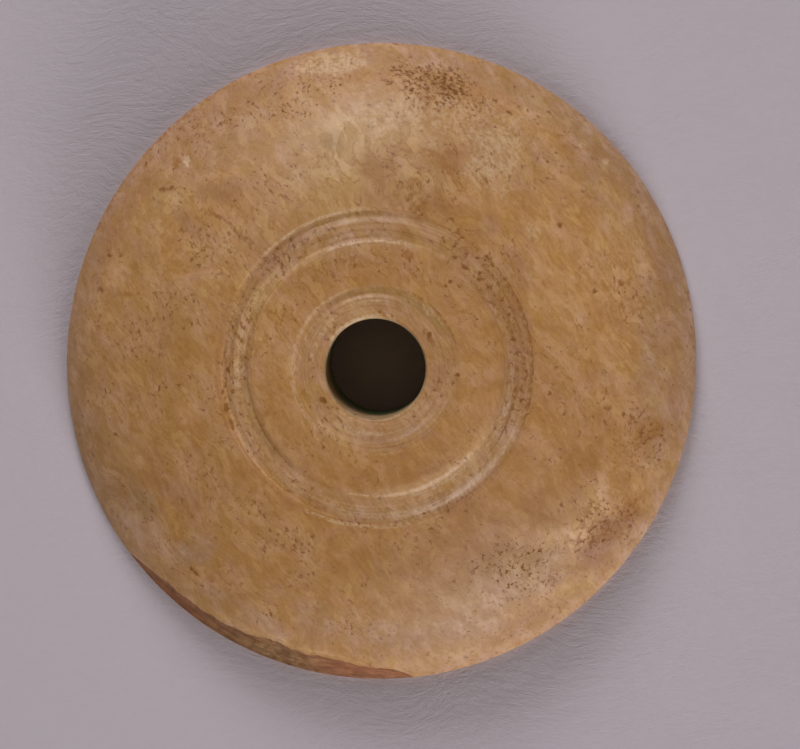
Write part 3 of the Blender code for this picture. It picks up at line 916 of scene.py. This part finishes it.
def turned_bone(colours, groups):
    """Polished old bone: stained, mottled and streaked along the fibre, with dirty pores."""
    material, bench, shader = material_bench("turned_bone")
    place = place_in_mm(bench)
    grain = bench.group(groups["grain"], Vector=place, Turn=GRAIN_TURN)
    lines = bench.group(groups["lines"], Vector=place)
    line = bench.blend_number(lines["Where"], 0.5, lines["Lines"])
    marks, zones = (bench.add("ShaderNodeSeparateColor", {"Color": bench.painted(name)}).outputs
                    for name in ("marks", "zones"))
    colour = bench.painted("tint")
    for part, low, high, dark, light in (
            (grain["Blotches"], 0.32, 0.68, (0.96, 0.93, 0.80), (1.04, 1.07, 1.20)),
            (grain["Hue"], 0.34, 0.66, (1.01, 0.985, 1.05), (1.0, 0.99, 0.82)),
            (grain["Mottle"], 0.30, 0.70, (0.90, 0.86, 0.77), (1.07, 1.10, 1.17)),
            (grain["Streaks"], 0.30, 0.70, (0.90, 0.87, 0.81), (1.06, 1.08, 1.11)),
            (grain["Fine"], 0.30, 0.70, (0.96, 0.95, 0.94), (1.03, 1.04, 1.05)),
            (line, 0.30, 0.70, (0.90, 0.87, 0.85), (1.09, 1.12, 1.14))):
        colour = bench.shade(colour, bench.span(part, low, high), dark, light)
    opposite = bench.math('SUBTRACT', 1.0, grain["Spots"])
    for channel, part, name in ((2, opposite, "cream"), (1, grain["Specks"], "amber"),
                                (0, grain["Spots"], "umber")):
        mark = bench.group(groups["mark"], Share=marks[channel], Noise=part)["Mark"]
        colour = bench.blend(mark, colour, getattr(colours, name))
    off = bench.math('ABSOLUTE', bench.math('SUBTRACT', grain["Mottle"], 0.5))
    veins = bench.times(bench.span(off, 0.0, 0.06, 1.0, 0.0), bench.span(grain["Hue"], 0.40, 0.56))
    clustered = bench.math('ADD', zones[1], bench.span(grain["Blotches"], 0.3, 0.7, -0.17, 0.17))
    strokes, specks, smudges, pores = (
        bench.group(groups["spots"], Share=share, Noise=grain[name], Edge=edge)["Spots"]
        for share, name, edge in ((0.62, "Streaks", 0.12), (clustered, "Specks", 0.19),
                                  (0.66, "Smudges", 0.24), (zones[0], "Spots", 0.15)))
    for part, strength, dirt in (
            (bench.times(veins, zones[2]), 0.75, colours.amber), (smudges, 0.60, colours.amber),
            (strokes, 0.16, colours.speck), (specks, 0.80, colours.speck),
            (pores, 0.76, colours.pore)):
        colour = bench.blend(bench.times(part, strength), colour, dirt)
    bench.fill(shader.inputs["Base Color"], colour)

    height = bench.times(grain["Streaks"], 0.005)
    for part, depth in ((grain["Fine"], 0.005), (line, 0.014), (specks, -0.006),
                        (pores, -0.012)):
        height = bench.math('ADD', height, bench.times(part, depth))
    bench.bump(shader, height)
    polish = bench.span(grain["Mottle"], 0.3, 0.7, BONE_ROUGHNESS + 0.05, BONE_ROUGHNESS - 0.04)
    bench.fill(shader.inputs["Roughness"], bench.blend_number(pores, polish, DIRT_ROUGHNESS))
    shader.inputs["IOR"].default_value = BONE_IOR
    shader.inputs["Specular IOR Level"].default_value = BONE_SPECULAR
    return material


def broken_bone(colours, groups):
    """The face of the break: red-brown with yellow soil, streaked along the rim."""
    material, bench, shader = material_bench("broken_bone")
    place = place_in_mm(bench)
    x, _, z, radius = bench.polar(place)
    layers = bench.joined(bench.times(x, 0.8), bench.times(radius, 4.0), bench.times(z, 2.5))
    streaks = bench.grain(layers, 3.0, 0.6)
    patches = bench.grain(place, 4.0, 0.65, scale=1.1)
    old = bench.blend(bench.span(x, -13.0, -9.0), darker(colours.broken, 0.85), colours.scab)
    bare = bench.blend(bench.span(x, -6.5, -2.5), old, colours.broken)
    soil = bench.times(bench.span(x, -10.0, -7.0), bench.span(x, -5.0, -3.0, 1.0, 0.0))
    soil = bench.times(soil, bench.span(z, 1.0, 1.9, 1.0, 0.15))
    soil = bench.times(soil, bench.span(patches, 0.42, 0.64, 0.0, 0.8))
    colour = bench.blend(soil, bare, colours.earth)
    for part, dark, light in ((patches, (0.80, 0.78, 0.76), (1.16, 1.18, 1.18)),
                              (streaks, (0.74, 0.70, 0.68), (1.22, 1.26, 1.28))):
        colour = bench.shade(colour, bench.span(part, 0.3, 0.7), dark, light)
    bench.fill(shader.inputs["Base Color"], colour)
    bench.bump(shader, bench.times(streaks, 0.03))
    shader.inputs["Roughness"].default_value = BROKEN_ROUGHNESS
    shader.inputs["Specular IOR Level"].default_value = BONE_SPECULAR
    return material


def pale_paper(stage):
    """The floor: plain pale paper with a fine, slightly rippled tooth."""
    material, bench, shader = material_bench("pale_paper")
    place = place_in_mm(bench)
    bent = bench.bent(place, 0.12, 6.0)
    tooth = bench.grain(bench.vector('MULTIPLY', bent, (1.0, 2.2, 1.0)), 4.0, 0.76)
    side = bench.vector('DOT_PRODUCT', place, (1.0, 1.0, 0.0), output=1)
    depth = bench.span(side, -40.0, -12.0, 0.025, 0.075)
    colour = bench.blend(bench.span(tooth, 0.3, 0.7, 0.0, 0.10), stage.floor_colour,
                         darker(stage.floor_colour, 0.8))
    bench.fill(shader.inputs["Base Color"], colour)
    bench.bump(shader, bench.times(tooth, depth))
    shader.inputs["Roughness"].default_value = PAPER_ROUGHNESS
    return material


# ------------------------------------------------------------------------------------------ stage

# Soft lamps: name, azimuth from +X and elevation in degrees, width and height in metres, and
# share of the lamp power
LAMPS = (
    ("far_lamp", 102.0, 27.0, 0.28, 0.12, 0.555),
    ("far_lamp_halo", 102.0, 35.0, 0.32, 0.36, 0.46),
    ("near_lamp", 293.0, 17.5, 0.28, 0.12, 0.57),
    ("near_lamp_halo", 293.0, 28.0, 0.34, 0.42, 0.52),
)
CAMERA_LEAN = (2.57, 3.51)       # degrees from straight above, towards +X and +Y
VIEW_CENTRE = (1.191 * MM, -0.796 * MM)
SENSOR_WIDTH = 36.0              # of the camera, in mm
FLOOR_SIZE = 1.2
FLOOR_GAP = 0.02 * MM            # left between the paper and the whorl
ROOM_COLOUR = (1.0, 0.98, 0.97, 1.0)


def lay_floor(stage):
    """A plain sheet of paper under the whorl."""
    build = bmesh.new()
    bmesh.ops.create_grid(build, x_segments=1, y_segments=1, size=FLOOR_SIZE)
    bmesh.ops.translate(build, verts=build.verts, vec=(0.0, 0.0, WHORL_LOW.z - FLOOR_GAP))
    floor = new_object("paper", build)
    floor.data.materials.append(pale_paper(stage))


def direction(azimuth, elevation):
    """A unit vector from an azimuth about +Z from +X and an elevation, in degrees."""
    level = cos(radians(elevation))
    return Vector((level * cos(radians(azimuth)), level * sin(radians(azimuth)),
                   sin(radians(elevation))))


def hang_lamp(stage, name, azimuth, elevation, width, height, share):
    """A soft lamp that faces the whorl."""
    light = bpy.data.lights.new(name, 'AREA')
    light.shape = 'RECTANGLE'
    light.size, light.size_y = width, height
    light.energy = stage.lamp_power * share
    lamp = bpy.data.objects.new(name, light)
    towards = direction(azimuth, elevation)
    lamp.location = towards * stage.lamp_distance
    lamp.rotation_mode = 'QUATERNION'
    lamp.rotation_quaternion = towards.to_track_quat('Z', 'Y')
    lamp.visible_camera = False
    bpy.context.scene.collection.objects.link(lamp)


def light_all_round(scene, stage):
    """A faint even light from everywhere."""
    world = bpy.data.worlds.new("soft_room")
    world.use_nodes = True
    background = world.node_tree.nodes["Background"]
    background.inputs["Color"].default_value = ROOM_COLOUR
    background.inputs["Strength"].default_value = stage.ambient
    scene.world = world


def place_camera(stage):
    """A long lens almost straight above the whorl, with +Y up in its view."""
    data = bpy.data.cameras.new("camera")
    data.sensor_width = SENSOR_WIDTH
    data.lens = data.sensor_width * stage.camera_distance / stage.view_width
    data.clip_start, data.clip_end = 0.01, 10.0
    camera = bpy.data.objects.new("camera", data)
    back = Vector((tan(radians(CAMERA_LEAN[0])), tan(radians(CAMERA_LEAN[1])), 1.0)).normalized()
    right = Vector((0.0, 1.0, 0.0)).cross(back).normalized()
    up = back.cross(right)
    target = Vector((*VIEW_CENTRE, bpy.context.scene.whorl_sizes.rim_height))
    turn = Matrix((right, up, back)).transposed().to_4x4()
    camera.matrix_world = Matrix.Translation(target + back * stage.camera_distance) @ turn
    bpy.context.scene.collection.objects.link(camera)
    return camera


# -------------------------------------------------------------------------------------- operators

class WHORL_OT_turn_whorl(bpy.types.Operator):
    """Turn the whorl, break its rim and give it its bone"""
    bl_idname = "whorl.turn_whorl"
    bl_label = "Turn the Whorl"

    def execute(self, context):
        sizes, colours = context.scene.whorl_sizes, context.scene.whorl_colours
        groups = {"grain": grain_group(), "mark": mark_group(), "spots": spot_group(),
                  "lines": line_group()}
        whorl = turn_body(sizes)
        whorl.data.materials.append(turned_bone(colours, groups))
        whorl.data.materials.append(broken_bone(colours, groups))
        break_rim(whorl, flake_cutter(sizes))
        paint_bone(whorl, colours)
        if len(whorl.data.polygons) < sizes.turn_steps:
            raise RuntimeError("the whorl was lost while its rim was being broken")
        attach(whorl, "root")
        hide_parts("whorl")
        return {'FINISHED'}


class WHORL_OT_set_stage(bpy.types.Operator):
    """Lay the floor, hang the lamps and place the camera"""
    bl_idname = "whorl.set_stage"
    bl_label = "Set the Stage"

    def execute(self, context):
        stage = context.scene.whorl_stage
        lay_floor(stage)
        for lamp in LAMPS:
            hang_lamp(stage, *lamp)
        light_all_round(context.scene, stage)
        context.scene.camera = place_camera(stage)
        context.scene.view_settings.view_transform = 'Standard'
        return {'FINISHED'}


class VIEW3D_PT_whorl(bpy.types.Panel):
    """Lists the whorl's makers"""
    bl_label = "Bone Spindle Whorl"
    bl_space_type = 'VIEW_3D'
    bl_region_type = 'UI'
    bl_category = "Whorl"

    def draw(self, context):
        for settings, operator in ((context.scene.whorl_sizes, "whorl.turn_whorl"),
                                   (context.scene.whorl_colours, None),
                                   (context.scene.whorl_stage, "whorl.set_stage")):
            box = self.layout.box()
            for name in settings.bl_rna.properties.keys():
                if name not in {"rna_type", "name"}:
                    box.prop(settings, name)
            if operator:
                box.operator(operator)


CLASSES = (WhorlSizes, WhorlColours, StageSettings, WHORL_OT_turn_whorl, WHORL_OT_set_stage,
           VIEW3D_PT_whorl)


def register():
    """Register the classes and hang their settings on the scene."""
    for cls in CLASSES:
        bpy.utils.register_class(cls)
    bpy.types.Scene.whorl_sizes = PointerProperty(type=WhorlSizes)
    bpy.types.Scene.whorl_colours = PointerProperty(type=WhorlColours)
    bpy.types.Scene.whorl_stage = PointerProperty(type=StageSettings)


def unregister():
    """Take the settings off the scene and unregister the classes."""
    for name in ("whorl_stage", "whorl_colours", "whorl_sizes"):
        delattr(bpy.types.Scene, name)
    for cls in reversed(CLASSES):
        bpy.utils.unregister_class(cls)


def main():
    """Make everything in order."""
    register()
    bpy.ops.whorl.turn_whorl()
    bpy.ops.whorl.set_stage()


if __name__ == "__main__":
    main()
